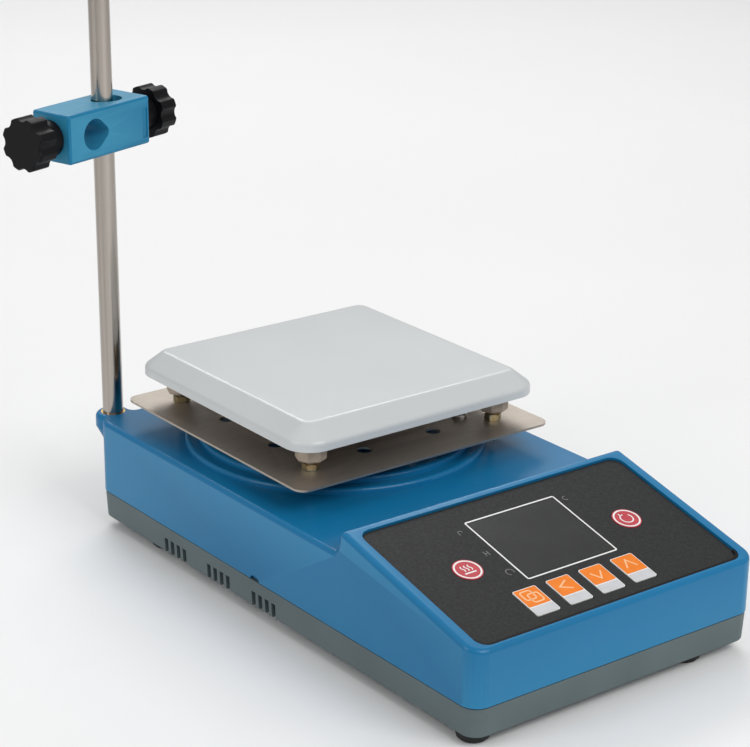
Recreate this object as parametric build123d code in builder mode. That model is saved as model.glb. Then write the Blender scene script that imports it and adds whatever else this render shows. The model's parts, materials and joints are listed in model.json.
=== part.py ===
from build123d import *
import os
from math import cos, radians, sin, tan

# Heated magnetic stirrer with a sloping control console, a square hot plate on a heat shield,
# and a support rod with a boss-head clamp. Millimetres, +Z up, -Y towards the user.
# The origin is on the bench, straight below the stirring axis.

os.makedirs("parts", exist_ok=True)

# ---- driving dimensions: body ----
BODY_WIDTH = 160.0
BODY_FRONT = -201.0
BODY_REAR = 88.0
CORNER_RADIUS = 8.0
WALL = 2.5
FOOT_HEIGHT = 5.0
BASE_HEIGHT = 14.0
SPLIT_Z = FOOT_HEIGHT + BASE_HEIGHT
SPLIT_GAP = 0.5
DECK_Z = SPLIT_Z + 36.2
BODY_LENGTH = BODY_REAR - BODY_FRONT
BODY_MID_Y = (BODY_REAR + BODY_FRONT) / 2

# ---- driving dimensions: console and panel ----
CONSOLE_ANGLE = 13.6
FRONT_TOP_Z = SPLIT_Z + 25.7
RIDGE_Y = -111.0
RIDGE_LEAN = 2.3
RIDGE_Z = FRONT_TOP_Z + (RIDGE_Y - BODY_FRONT) * tan(radians(CONSOLE_ANGLE))
PANEL_WIDTH = 148.4
PANEL_LENGTH = 85.6
PANEL_START = 2.6
PANEL_RADIUS = 6.0
RECESS_DEPTH = 2.2
OVERLAY_THICKNESS = 1.2
OVERLAY_TOP = OVERLAY_THICKNESS - RECESS_DEPTH
CONSOLE_SHEET = RECESS_DEPTH + WALL

# ---- driving dimensions: keys ----
KEY_SIZE = (12.5, 17.4)
KEY_PITCH = 18.3
KEY_ROW = (-32.1, -26.9)
KEY_TRAVEL = 0.5
KEY_TOP = OVERLAY_TOP + 0.2
KEY_CAP = 0.8
KEY_GAP = 0.3
BUTTON_RADIUS = 6.8
BUTTON_PLACE = (45.4, 2.5)
STEM_RADIUS = 2.0
STEM_GAP = 0.3
WINDOW_SIZE = (49.0, 42.0)
WINDOW_PLACE = (0.0, 8.2)
BOARD_TOP = -13.0
BOARD_THICKNESS = 1.6
SWITCH_HEIGHT = 4.4

# ---- driving dimensions: heated plate stack ----
SHIELD_SIZE = 145.0
SHIELD_TOP_Z = SPLIT_Z + 49.8
SHIELD_THICKNESS = 1.0
PLATE_SIZE = 138.0
PLATE_FACE = 120.0
PLATE_RIM = 4.0
PLATE_BOTTOM_Z = SPLIT_Z + 64.3
PLATE_TOP_Z = SPLIT_Z + 75.4
STANDOFF_SPREAD = 53.0
STANDOFF_HEIGHT = 9.6
STANDOFF_RADIUS = 6.7
SCREW_RADIUS = 2.0
LEAD_PLACE = (20.0, 49.0)
LEAD_RADIUS = 2.0
VENT_HOLE_RADIUS = 3.6
BOSS_STEPS = ((72.0, 3.0), (66.0, 6.0))
BOSS_TOP_Z = DECK_Z + BOSS_STEPS[1][1]
PLATE_RECESS = 4.6
HEATER_SIZE = 92.0

# ---- driving dimensions: drive ----
SHAFT_RADIUS = 2.5
MOTOR_RADIUS = 25.0
MOTOR_BOTTOM_Z = 12.0
BRACKET_Z = 36.0
BRACKET_THICKNESS = 2.0
BRACKET_SPREAD = 57.0
CARRIER_LENGTH = 92.0
CARRIER_WIDTH = 28.0
CARRIER_BOTTOM_Z = 49.0
CARRIER_THICKNESS = 8.0
MAGNET_RADIUS = 10.0
MAGNET_HEIGHT = 6.0
MAGNET_PLACE = 32.0
RUNNING_FIT = 0.05

# ---- driving dimensions: rod and boss-head clamp ----
ROD_PLACE = (-68.4, 91.8)
ROD_RADIUS = 5.0
ROD_LENGTH = 340.0
ROD_SEAT_GAP = 0.1
SPIGOT_RADIUS = 4.0
SPIGOT_LENGTH = 9.5
LUG_RADIUS = 8.6
LUG_BAND = 7.0
LUG_TAPER = 14.0
INSERT_RADIUS = 6.0
INSERT_DEPTH = 10.0
CLAMP_TURN = 16.6
CLAMP_SIZE = (55.0, 23.0, 23.0)
CLAMP_Z = SPLIT_Z + 180.2
ROD_IN_CLAMP = 7.4
SLOT_LARGE = 7.3
SLOT_SMALL = 3.0
SLOT_REACH = 6.4
ROD_SEAT = 3.0
CROSS_HOLE_U = -10.5
STUD_RADIUS = 3.0
HUB_RADIUS = 8.5
HUB_LENGTH = 8.0
KNOB_RADIUS = 12.5
KNOB_THICKNESS = 10.4
KNOB_LOBES = 8


def level(z):
    """Horizontal plane at height z."""
    return Plane.XY.offset(z)


PANEL_MID = PANEL_START + PANEL_LENGTH / 2
PANEL = Plane(
    origin=(
        0,
        BODY_FRONT + PANEL_MID * cos(radians(CONSOLE_ANGLE)),
        FRONT_TOP_Z + PANEL_MID * sin(radians(CONSOLE_ANGLE)),
    ),
    x_dir=(1, 0, 0),
    z_dir=(0, -sin(radians(CONSOLE_ANGLE)), cos(radians(CONSOLE_ANGLE))),
)
CLAMP_X = Vector(cos(radians(CLAMP_TURN)), sin(radians(CLAMP_TURN)), 0)
CLAMP = Plane(
    origin=Vector(*ROD_PLACE, CLAMP_Z) - CLAMP_X * ROD_IN_CLAMP,
    x_dir=CLAMP_X,
    z_dir=(0, 0, 1),
)
SIDE = Plane(origin=(0, 0, 0), x_dir=(0, 1, 0), z_dir=(1, 0, 0))

KEYS = {
    name: (KEY_ROW[0] + i * KEY_PITCH, KEY_ROW[1])
    for i, name in enumerate(("key_select", "key_left", "key_down", "key_up"))
}
BUTTONS = {"button_heat": (-BUTTON_PLACE[0], BUTTON_PLACE[1]), "button_stir": BUTTON_PLACE}
PRESS_POINTS = [*KEYS.values(), *BUTTONS.values()]
FEET = {
    "foot_front_left": (-70.0, BODY_FRONT + 11.5),
    "foot_front_right": (50.0, BODY_FRONT + 11.5),
    "foot_rear_left": (-68.0, 45.0),
    "foot_rear_right": (50.0, 45.0),
}
CORNERS = [(x, y) for x in (-STANDOFF_SPREAD, STANDOFF_SPREAD) for y in (-STANDOFF_SPREAD, STANDOFF_SPREAD)]
BRACKET_SCREWS = [(0, -BRACKET_SPREAD), (0, BRACKET_SPREAD), (-BRACKET_SPREAD, 0), (BRACKET_SPREAD, 0)]


def save(piece, name):
    """Label a finished piece and write it to its own STEP file."""
    piece.part.label = name
    export_step(piece.part, f"parts/{name}.step")


# ---------------------------------------------------------------- upper housing
EDGE_ROUND = 2.4
VALLEY_ROUND = 3.0
LUG_BLEND = 3.0
POST_RADIUS = 4.2
POST_BOTTOM_Z = 17.0
POST_HOLE = 1.5
BODY_SCREWS = [(x, y) for x in (-66, 66) for y in (BODY_FRONT + 28, 66)]
FIT_GAP = 0.15
PAD_RADIUS = 3.5
SHIELD_PADS = [(x, y) for x in (-42, 42) for y in (-42, 42)]
BOARD_SIZE = (118.0, 78.0)
BOARD_POSTS = [(x, y) for x in (-55, 55) for y in (-34, 34)]
INLET_PLACE = (-31.0, 36.0)
INLET_CUT = (28.0, 20.6)
INLET_SCREWS = 40.0
SWITCH_PLACE = (12.0, 36.0)
SWITCH_CUT = (13.0, 19.2)
FUSE_PLACE = (36.0, 36.0)
FUSE_RADIUS = 6.2
NOTCH_Y = -47.0
NOTCH_RADIUS = 3.5
REAR = Plane(origin=(0, BODY_REAR, 0), x_dir=(-1, 0, 0), z_dir=(0, 1, 0))


def shell_form(inset, deck_drop, console_drop, bottom):
    """Solid of the housing's outside, or of its hollow when inset and lowered by the wall."""
    slope = tan(radians(CONSOLE_ANGLE))
    front_z = FRONT_TOP_Z - console_drop / cos(radians(CONSOLE_ANGLE))
    ridge_y = RIDGE_Y - inset
    valley = (ridge_y + RIDGE_LEAN, DECK_Z - deck_drop)
    with BuildPart() as form:
        with BuildSketch(level(bottom)):
            with Locations((0, BODY_MID_Y)):
                RectangleRounded(BODY_WIDTH - 2 * inset, BODY_LENGTH - 2 * inset, CORNER_RADIUS - inset)
        extrude(amount=RIDGE_Z)
        with BuildSketch(SIDE) as profile:
            with BuildLine():
                Polyline(
                    (BODY_FRONT - 20, bottom - 1),
                    (BODY_FRONT - 20, front_z - 20 * slope),
                    (ridge_y, front_z + (ridge_y - BODY_FRONT) * slope),
                    valley,
                    (BODY_REAR + 20, DECK_Z - deck_drop),
                    (BODY_REAR + 20, bottom - 1),
                    close=True,
                )
            make_face()
            fillet(profile.vertices().sort_by_distance(Vertex(*valley, 0))[0], VALLEY_ROUND)
        extrude(amount=BODY_WIDTH, both=True, mode=Mode.INTERSECT)
    return form


def rod_lug():
    """Rounded lug at the rear left corner, tapering back into the corner below the deck."""
    with BuildPart() as lug:
        with BuildSketch(level(DECK_Z - LUG_BAND)) as outline:
            with Locations((0, BODY_MID_Y)):
                RectangleRounded(BODY_WIDTH, BODY_LENGTH, CORNER_RADIUS)
            with Locations(ROD_PLACE):
                Circle(LUG_RADIUS)
            rod_point = Vertex(*ROD_PLACE, 0)
            seams = outline.vertices().filter_by(lambda v: v.distance_to(rod_point) < LUG_RADIUS + 0.01)
            fillet(seams, LUG_BLEND)
            with Locations(ROD_PLACE):
                Rectangle(6 * LUG_RADIUS, 6 * LUG_RADIUS, mode=Mode.INTERSECT)
        extrude(amount=LUG_BAND)
        with Locations((*ROD_PLACE, DECK_Z - LUG_BAND - LUG_TAPER)):
            Cone(1.5, LUG_RADIUS, LUG_TAPER, align=(Align.CENTER, Align.CENTER, Align.MIN))
    return lug


def top_rim(housing):
    """Edges round the console, its back wall and the deck, with the console's ridge."""
    faces = housing.faces().filter_by(lambda f: abs(f.normal_at().X) < 0.1 and f.center().Z > DECK_Z - 1)
    tops = faces.filter_by(lambda f: f.normal_at().Z > 0.05 or f.center().Y < RIDGE_Y + 2 * RIDGE_LEAN)
    edges = tops.edges()
    ridge = housing.edges().filter_by(Axis.X).sort_by(Axis.Z)[-1]
    return [e for e in edges if sum(e.is_same(other) for other in edges) == 1] + [ridge]


with BuildPart() as upper_housing:
    add(shell_form(0, 0, 0, SPLIT_Z).part)
    add(rod_lug().part)
    fillet(top_rim(upper_housing), EDGE_ROUND)
    add(shell_form(WALL, WALL, CONSOLE_SHEET, SPLIT_Z - 1).part, mode=Mode.SUBTRACT)
    # Stepped round boss under the hot plate, hollow inside for the magnet carrier.
    for radius, rise in BOSS_STEPS:
        with BuildSketch(level(DECK_Z - WALL)):
            Circle(radius)
        extrude(amount=WALL + rise)
        crown = upper_housing.faces().filter_by(Axis.Z).filter_by(lambda f: abs(f.center().Z - DECK_Z - rise) < 0.01)
        fillet(crown.edges().sort_by(SortBy.LENGTH)[-1], 1.8)
    with BuildSketch(level(DECK_Z - WALL - 1)):
        Circle(BOSS_STEPS[1][0] - WALL)
    extrude(amount=BOSS_STEPS[1][1] + 1, mode=Mode.SUBTRACT)
    # Recess for the panel overlay, with openings for the display and the key stems.
    with BuildSketch(PANEL):
        RectangleRounded(PANEL_WIDTH, PANEL_LENGTH, PANEL_RADIUS)
    extrude(amount=-RECESS_DEPTH, mode=Mode.SUBTRACT)
    with BuildSketch(PANEL):
        with Locations(WINDOW_PLACE):
            Rectangle(*WINDOW_SIZE)
        with Locations(*PRESS_POINTS):
            Circle(STEM_RADIUS + STEM_GAP)
    extrude(amount=-2 * CONSOLE_SHEET, mode=Mode.SUBTRACT)
    with BuildSketch(PANEL.offset(-RECESS_DEPTH - 1)):
        with Locations(*BOARD_POSTS):
            Circle(3)
            Circle(1.2, mode=Mode.SUBTRACT)
    extrude(amount=BOARD_TOP + RECESS_DEPTH + 1)
    # Posts for the screws that come up through the base.
    for x, y in BODY_SCREWS:
        roof = DECK_Z if y > RIDGE_Y else FRONT_TOP_Z + (y - BODY_FRONT) * tan(radians(CONSOLE_ANGLE)) - 3.2
        with BuildSketch(level(POST_BOTTOM_Z)):
            with Locations((x, y)):
                Circle(POST_RADIUS)
        extrude(amount=roof - 1 - POST_BOTTOM_Z)
    with BuildSketch(level(POST_BOTTOM_Z)):
        with Locations(*BODY_SCREWS):
            Circle(POST_HOLE)
    extrude(amount=14, mode=Mode.SUBTRACT)
    # Inner rib that backs the rod lug, and the pocket of the rod's threaded insert.
    with BuildSketch(level(DECK_Z - 2 * LUG_BAND)):
        with Locations(ROD_PLACE):
            Circle(LUG_RADIUS)
        with Locations((ROD_PLACE[0], BODY_REAR - 11)):
            Rectangle(4 * LUG_RADIUS, 20, mode=Mode.INTERSECT)
    extrude(amount=2 * LUG_BAND - 1)
    with Locations((*ROD_PLACE, DECK_Z)):
        Hole(INSERT_RADIUS, INSERT_DEPTH)
    # Pads on the boss that carry the heat shield, tapped for its screws.
    with BuildSketch(level(BOSS_TOP_Z - 1)):
        with Locations(*SHIELD_PADS):
            Circle(PAD_RADIUS)
    extrude(amount=SHIELD_TOP_Z - SHIELD_THICKNESS - BOSS_TOP_Z + 1)
    with Locations(*[(x, y, SHIELD_TOP_Z) for x, y in SHIELD_PADS]):
        Hole(SCREW_RADIUS, SHIELD_TOP_Z - BOSS_TOP_Z + 2)
    # Holes through the boss: bracket screws and heater lead.
    with Locations(*[(x, y, BOSS_TOP_Z) for x, y in BRACKET_SCREWS]):
        Hole(SCREW_RADIUS + 0.1, 2 * WALL)
    with Locations((*LEAD_PLACE, BOSS_TOP_Z)):
        Hole(2 * LEAD_RADIUS, 2 * WALL)
    # Rear wall openings, and the notch in the left edge for parting the two halves.
    with BuildSketch(REAR):
        with Locations((-INLET_PLACE[0], INLET_PLACE[1])):
            Rectangle(*INLET_CUT)
            with Locations((-INLET_SCREWS / 2, 0), (INLET_SCREWS / 2, 0)):
                Circle(1.6)
        with Locations((-SWITCH_PLACE[0], SWITCH_PLACE[1])):
            Rectangle(*SWITCH_CUT)
        with Locations((-FUSE_PLACE[0], FUSE_PLACE[1])):
            Circle(FUSE_RADIUS)
    extrude(amount=-2 * WALL, mode=Mode.SUBTRACT)
    with BuildSketch(Plane(origin=(-BODY_WIDTH / 2, NOTCH_Y, SPLIT_Z), x_dir=(0, -1, 0), z_dir=(-1, 0, 0))):
        Ellipse(NOTCH_RADIUS, 0.6 * NOTCH_RADIUS)
    extrude(amount=-0.6 * WALL, mode=Mode.SUBTRACT)
save(upper_housing, "upper_housing")


# ---------------------------------------------------------------- base pan and feet
BASE_WALL = 2.9
BASE_TAPER = 3.0
BASE_TOP_Z = SPLIT_Z - SPLIT_GAP
FLOOR = 2.5
LIP_HEIGHT = 2.5
LIP_WALL = 1.8
VENT_GROUPS = (20.0, -16.5, -53.0)
VENT_PITCH = 5.2
VENT_WIDTH = 3.0
VENT_TOP_Z = 12.5
FOOT_STEM = 3.0
POWER_POSTS = [(x, y) for x in (-54, 54) for y in (42, 76)]
POWER_BOARD_Z = 12.0

with BuildPart() as base_pan:
    with BuildSketch(level(BASE_TOP_Z)):
        with Locations((0, BODY_MID_Y)):
            RectangleRounded(BODY_WIDTH - 0.4, BODY_LENGTH - 0.4, CORNER_RADIUS)
    extrude(amount=FOOT_HEIGHT - BASE_TOP_Z, taper=BASE_TAPER)
    fillet(base_pan.edges().group_by(Axis.Z)[0], 1.0)
    with BuildSketch(level(FOOT_HEIGHT + FLOOR)):
        with Locations((0, BODY_MID_Y)):
            RectangleRounded(BODY_WIDTH - 2 * BASE_WALL - 1.6, BODY_LENGTH - 2 * BASE_WALL - 1.6, CORNER_RADIUS - 3)
    extrude(amount=BASE_HEIGHT, mode=Mode.SUBTRACT)
    # Lip that locates the upper housing.
    lip_inset = WALL + FIT_GAP
    with BuildSketch(level(BASE_TOP_Z - LIP_HEIGHT)):
        with Locations((0, BODY_MID_Y)):
            RectangleRounded(BODY_WIDTH - 2 * lip_inset, BODY_LENGTH - 2 * lip_inset, CORNER_RADIUS - lip_inset)
            RectangleRounded(
                BODY_WIDTH - 2 * (lip_inset + LIP_WALL),
                BODY_LENGTH - 2 * (lip_inset + LIP_WALL),
                CORNER_RADIUS - lip_inset - LIP_WALL,
                mode=Mode.SUBTRACT,
            )
    extrude(amount=2 * LIP_HEIGHT)
    # Vent slots in both side walls, open at the bottom edge.
    for group_y in VENT_GROUPS:
        for side in (-1, 1):
            with Locations((side * BODY_WIDTH / 2, group_y, FOOT_HEIGHT - 1)):
                with GridLocations(1, VENT_PITCH, 1, 4):
                    Box(
                        2 * (BASE_WALL + 1.4),
                        VENT_WIDTH,
                        VENT_TOP_Z - FOOT_HEIGHT + 1,
                        align=(Align.CENTER, Align.CENTER, Align.MIN),
                        mode=Mode.SUBTRACT,
                    )
    with BuildSketch(level(FOOT_HEIGHT + 1)):
        with Locations(*BODY_SCREWS):
            Circle(POST_RADIUS)
    extrude(amount=POST_BOTTOM_Z - FOOT_HEIGHT - 1)
    with BuildSketch(level(FOOT_HEIGHT + 1)):
        with Locations(*POWER_POSTS):
            Circle(3)
    extrude(amount=POWER_BOARD_Z - FOOT_HEIGHT - 1)
    with Locations(*[(x, y, POWER_BOARD_Z) for x, y in POWER_POSTS]):
        Hole(1.2, 5)
    with Locations(*[(x, y, FOOT_HEIGHT) for x, y in BODY_SCREWS]):
        with Locations(Rotation(180, 0, 0)):
            CounterBoreHole(SCREW_RADIUS - 0.3, 3.2, 3.0, 20)
    with Locations(*[(*place, FOOT_HEIGHT + FLOOR) for place in FEET.values()]):
        Hole(FOOT_STEM, 2 * FLOOR)
save(base_pan, "base_pan")

FOOT_STEM_TOP = FOOT_HEIGHT + FLOOR + 1.5
with BuildPart() as rubber_foot:
    with BuildSketch(Plane.XZ):
        with BuildLine():
            Polyline(
                (3, 0),
                (5.9, 0),
                (7.0, 1.1),
                (7.9, FOOT_HEIGHT),
                (FOOT_STEM, FOOT_HEIGHT),
                (FOOT_STEM, FOOT_STEM_TOP),
                (0, FOOT_STEM_TOP),
                (0, 1.8),
                (3, 1.8),
                close=True,
            )
        make_face()
    revolve(axis=Axis.Z)

with BuildPart() as rubber_feet:
    with Locations(*FEET.values()):
        add(rubber_foot.part)
save(rubber_feet, "rubber_feet")


# ---------------------------------------------------------------- fasteners
def pan_screw(head_radius, head_height, shank_radius, length):
    """Cross-head screw standing on its head's underside at z = 0, shank pointing down."""
    with BuildPart() as screw:
        Cylinder(shank_radius, length, align=(Align.CENTER, Align.CENTER, Align.MAX))
        Cylinder(head_radius, head_height, align=(Align.CENTER, Align.CENTER, Align.MIN))
        fillet(screw.edges().sort_by(Axis.Z)[-1], 0.45 * head_height)
        with Locations((0, 0, head_height)):
            Box(1.3 * head_radius, 0.28 * head_radius, head_height, mode=Mode.SUBTRACT)
            Box(0.28 * head_radius, 1.3 * head_radius, head_height, mode=Mode.SUBTRACT)
    return screw.part


def screw_group(screw, places, flip=False):
    """The same screw at every place, as separate solids; flipped screws point up."""
    with BuildPart() as group:
        with Locations(*[Location(place, (180, 0, 0) if flip else (0, 0, 0)) for place in places]):
            add(screw)
    return group


SEAT_Z = FOOT_HEIGHT + 3.0
base_screws = screw_group(
    pan_screw(2.9, 2.0, POST_HOLE - RUNNING_FIT, 18), [(x, y, SEAT_Z) for x, y in BODY_SCREWS], flip=True
)
save(base_screws, "base_screws")

# ---------------------------------------------------------------- hot plate stack
with BuildPart() as hot_plate:
    with BuildSketch(level(PLATE_BOTTOM_Z)):
        RectangleRounded(PLATE_SIZE, PLATE_SIZE, 13)
    extrude(amount=PLATE_TOP_Z - PLATE_BOTTOM_Z)
    top = hot_plate.faces().sort_by(Axis.Z)[-1]
    rise = PLATE_TOP_Z - PLATE_BOTTOM_Z - PLATE_RIM
    chamfer(top.edges(), (PLATE_SIZE - PLATE_FACE) / 2, rise, reference=top)
    fillet(hot_plate.faces().sort_by(Axis.Z)[-1].edges(), 3)
    rim_z = PLATE_BOTTOM_Z + PLATE_RIM
    fillet(hot_plate.edges().filter_by_position(Axis.Z, rim_z - 0.1, rim_z + 0.1), 2.5)
    with BuildSketch(level(PLATE_BOTTOM_Z)):
        RectangleRounded(HEATER_SIZE + 1, HEATER_SIZE + 1, 4)
    extrude(amount=PLATE_RECESS, mode=Mode.SUBTRACT)
    with Locations(*[(x, y, PLATE_BOTTOM_Z) for x, y in CORNERS]):
        Cylinder(SCREW_RADIUS, 14, mode=Mode.SUBTRACT)
    with Locations((0, 0, PLATE_BOTTOM_Z)):
        Cylinder(1.6, 15, mode=Mode.SUBTRACT)
save(hot_plate, "hot_plate")

heater_top = PLATE_BOTTOM_Z + PLATE_RECESS
LAYERS = (("heating_element", 1.4, 0.5), ("heater_insulation", 2.0, 0.5), ("heater_cover", 1.2, 0.5))
for name, thickness, gap in LAYERS:
    heater_top -= thickness
    with BuildPart() as layer:
        with BuildSketch(level(heater_top)):
            RectangleRounded(HEATER_SIZE + 1 - 2 * gap, HEATER_SIZE + 1 - 2 * gap, 3.5)
            Circle(1.6, mode=Mode.SUBTRACT)
        extrude(amount=thickness)
    save(layer, name)

with BuildPart() as temperature_probe:
    with Locations((0, 0, PLATE_BOTTOM_Z - 1)):
        Cylinder(1.5, 8, align=(Align.CENTER, Align.CENTER, Align.MIN))
        Cylinder(4, 1, align=(Align.CENTER, Align.CENTER, Align.MIN))
save(temperature_probe, "temperature_probe")

with BuildPart() as lead_terminal:
    with Locations((LEAD_PLACE[0], LEAD_PLACE[1] - 4, PLATE_BOTTOM_Z)):
        Box(10, 16, 7, align=(Align.CENTER, Align.CENTER, Align.MAX))
    fillet(lead_terminal.edges().filter_by(Axis.Z), 1)
save(lead_terminal, "lead_terminal")

with BuildPart() as heat_shield:
    with BuildSketch(level(SHIELD_TOP_Z)):
        RectangleRounded(SHIELD_SIZE, SHIELD_SIZE, 6)
        with Locations(*CORNERS, *SHIELD_PADS):
            Circle(SCREW_RADIUS + 0.1, mode=Mode.SUBTRACT)
        with Locations(*[(x, y) for a in (-49, 49) for b in (-20, 20) for x, y in ((a, b), (b, a))]):
            Circle(VENT_HOLE_RADIUS, mode=Mode.SUBTRACT)
    extrude(amount=-SHIELD_THICKNESS)
save(heat_shield, "heat_shield")

# Studs that hang from the hot plate through standoff and shield; they end above the deck.
NUT_HEIGHT = 3.2
NUT_RADIUS = 4.04
STUD_TOP_Z = PLATE_BOTTOM_Z + 6.5
STUD_BOTTOM_Z = DECK_Z + 2.8
with BuildPart() as plate_studs:
    with BuildSketch(level(STUD_BOTTOM_Z)):
        with Locations(*CORNERS):
            Circle(SCREW_RADIUS)
    extrude(amount=STUD_TOP_Z - STUD_BOTTOM_Z)
save(plate_studs, "plate_studs")

with BuildPart() as hex_nuts:
    for bottom in (SHIELD_TOP_Z - SHIELD_THICKNESS - NUT_HEIGHT, SHIELD_TOP_Z):
        with BuildSketch(level(bottom)):
            with Locations(*CORNERS):
                RegularPolygon(NUT_RADIUS, 6)
                Circle(SCREW_RADIUS, mode=Mode.SUBTRACT)
        extrude(amount=NUT_HEIGHT)
    with BuildSketch(level(BRACKET_Z - NUT_HEIGHT)):
        with Locations(*BRACKET_SCREWS):
            RegularPolygon(NUT_RADIUS, 6)
            Circle(SCREW_RADIUS, mode=Mode.SUBTRACT)
    extrude(amount=NUT_HEIGHT)
save(hex_nuts, "hex_nuts")

shield_screws = screw_group(
    pan_screw(3.6, 2.4, SCREW_RADIUS, SHIELD_TOP_Z - BOSS_TOP_Z + 1.5), [(x, y, SHIELD_TOP_Z) for x, y in SHIELD_PADS]
)
save(shield_screws, "shield_screws")

with BuildPart() as ceramic_standoffs:
    with BuildSketch(level(PLATE_BOTTOM_Z - STANDOFF_HEIGHT)):
        with Locations(*CORNERS):
            RegularPolygon(STANDOFF_RADIUS + 0.5, 8)
            Circle(SCREW_RADIUS, mode=Mode.SUBTRACT)
    extrude(amount=STANDOFF_HEIGHT)
    undersides = ceramic_standoffs.faces().group_by(Axis.Z)[0]
    chamfer([edge for face in undersides for edge in face.outer_wire().edges()], 0.9)
save(ceramic_standoffs, "ceramic_standoffs")

# ---------------------------------------------------------------- control panel
with BuildPart() as panel_overlay:
    with BuildSketch(PANEL.offset(-RECESS_DEPTH)):
        RectangleRounded(PANEL_WIDTH - 1.0, PANEL_LENGTH - 1.0, PANEL_RADIUS - 0.5)
        with Locations(WINDOW_PLACE):
            RectangleRounded(*WINDOW_SIZE, 0.8, mode=Mode.SUBTRACT)
        with Locations(*KEYS.values()):
            RectangleRounded(KEY_SIZE[0] + 2 * KEY_GAP, KEY_SIZE[1] + 2 * KEY_GAP, 1, mode=Mode.SUBTRACT)
        with Locations(*BUTTONS.values()):
            Circle(BUTTON_RADIUS + KEY_GAP, mode=Mode.SUBTRACT)
    extrude(amount=OVERLAY_THICKNESS)
save(panel_overlay, "panel_overlay")

with BuildPart() as display_window:
    with BuildSketch(PANEL.offset(-RECESS_DEPTH - 1)):
        with Locations(WINDOW_PLACE):
            RectangleRounded(WINDOW_SIZE[0] - 0.2, WINDOW_SIZE[1] - 0.2, 0.7)
    extrude(amount=OVERLAY_THICKNESS + 1)
save(display_window, "display_window")

with BuildPart() as display_module:
    with BuildSketch(PANEL.offset(BOARD_TOP)):
        with Locations(WINDOW_PLACE):
            RectangleRounded(WINDOW_SIZE[0] - 3, WINDOW_SIZE[1] - 3, 0.8)
    extrude(amount=-BOARD_TOP - RECESS_DEPTH - 1.2)
save(display_module, "display_module")

STEM_END = BOARD_TOP + SWITCH_HEIGHT + KEY_TRAVEL + 0.1


def press_cap(place, round_cap):
    """A key or button: thin cap in the overlay, on a stem that reaches down to its switch."""
    with BuildPart() as cap:
        with BuildSketch(PANEL.offset(KEY_TOP - KEY_CAP)):
            with Locations(place):
                if round_cap:
                    Circle(BUTTON_RADIUS)
                else:
                    RectangleRounded(*KEY_SIZE, 0.9)
        extrude(amount=KEY_CAP)
        with BuildSketch(PANEL.offset(STEM_END)):
            with Locations(place):
                Circle(STEM_RADIUS)
        extrude(amount=KEY_TOP - KEY_CAP / 2 - STEM_END)
    return cap


for name, place in KEYS.items():
    save(press_cap(place, False), name)
for name, place in BUTTONS.items():
    save(press_cap(place, True), name)

with BuildPart() as control_board:
    with BuildSketch(PANEL.offset(BOARD_TOP)):
        RectangleRounded(*BOARD_SIZE, 2)
        with Locations(*BOARD_POSTS):
            Circle(1.4, mode=Mode.SUBTRACT)
    extrude(amount=-BOARD_THICKNESS)
save(control_board, "control_board")

with BuildPart() as tact_switches:
    with BuildSketch(PANEL.offset(BOARD_TOP)):
        with Locations(*PRESS_POINTS):
            RectangleRounded(6, 6, 0.6)
    extrude(amount=SWITCH_HEIGHT - 0.9)
    with BuildSketch(PANEL.offset(BOARD_TOP + 1)):
        with Locations(*PRESS_POINTS):
            Circle(1.7)
    extrude(amount=SWITCH_HEIGHT - 1)
save(tact_switches, "tact_switches")

# ---------------------------------------------------------------- motor and magnet drive
MOTOR_WALL = 1.5
MOTOR_SCREW_CIRCLE = 18.0
with BuildPart() as motor_bracket:
    with BuildSketch(level(BRACKET_Z)):
        for angle in (0, 90):
            with Locations(Rotation(0, 0, angle)):
                SlotOverall(2 * BRACKET_SPREAD + 16, 16)
        Circle(MOTOR_RADIUS + 3)
        Circle(6, mode=Mode.SUBTRACT)
        with Locations(*BRACKET_SCREWS):
            Circle(SCREW_RADIUS + 0.1, mode=Mode.SUBTRACT)
        with PolarLocations(MOTOR_SCREW_CIRCLE, 4, start_angle=45):
            Circle(1.6, mode=Mode.SUBTRACT)
    extrude(amount=BRACKET_THICKNESS)
save(motor_bracket, "motor_bracket")

SPACER_Z = BRACKET_Z + BRACKET_THICKNESS
with BuildPart() as bracket_spacers:
    with BuildSketch(level(SPACER_Z)):
        with Locations(*BRACKET_SCREWS):
            Circle(3.6)
            Circle(SCREW_RADIUS + 0.1, mode=Mode.SUBTRACT)
    extrude(amount=BOSS_TOP_Z - WALL - SPACER_Z)
save(bracket_spacers, "bracket_spacers")

bracket_bolts = screw_group(
    pan_screw(3.6, 2.4, SCREW_RADIUS, BOSS_TOP_Z - BRACKET_Z + 5), [(x, y, BOSS_TOP_Z) for x, y in BRACKET_SCREWS]
)
save(bracket_bolts, "bracket_bolts")

with BuildPart() as motor_can:
    with Locations((0, 0, MOTOR_BOTTOM_Z + 2)):
        Cylinder(MOTOR_RADIUS, BRACKET_Z - MOTOR_BOTTOM_Z - 2, align=(Align.CENTER, Align.CENTER, Align.MIN))
        Cylinder(
            MOTOR_RADIUS - MOTOR_WALL,
            BRACKET_Z - MOTOR_BOTTOM_Z - 4,
            align=(Align.CENTER, Align.CENTER, Align.MIN),
            mode=Mode.SUBTRACT,
        )
    with Locations((0, 0, BRACKET_Z)):
        Cylinder(5, 10, mode=Mode.SUBTRACT)
    with Locations((0, 0, BRACKET_Z)):
        with PolarLocations(MOTOR_SCREW_CIRCLE, 4, start_angle=45):
            Cylinder(1.3, 10, mode=Mode.SUBTRACT)
save(motor_can, "motor_can")

reach = MOTOR_SCREW_CIRCLE * cos(radians(45))
motor_screws = screw_group(
    pan_screw(2.6, 1.8, 1.25, 3.5), [(x, y, SPACER_Z) for x in (-reach, reach) for y in (-reach, reach)]
)
save(motor_screws, "motor_screws")

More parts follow.
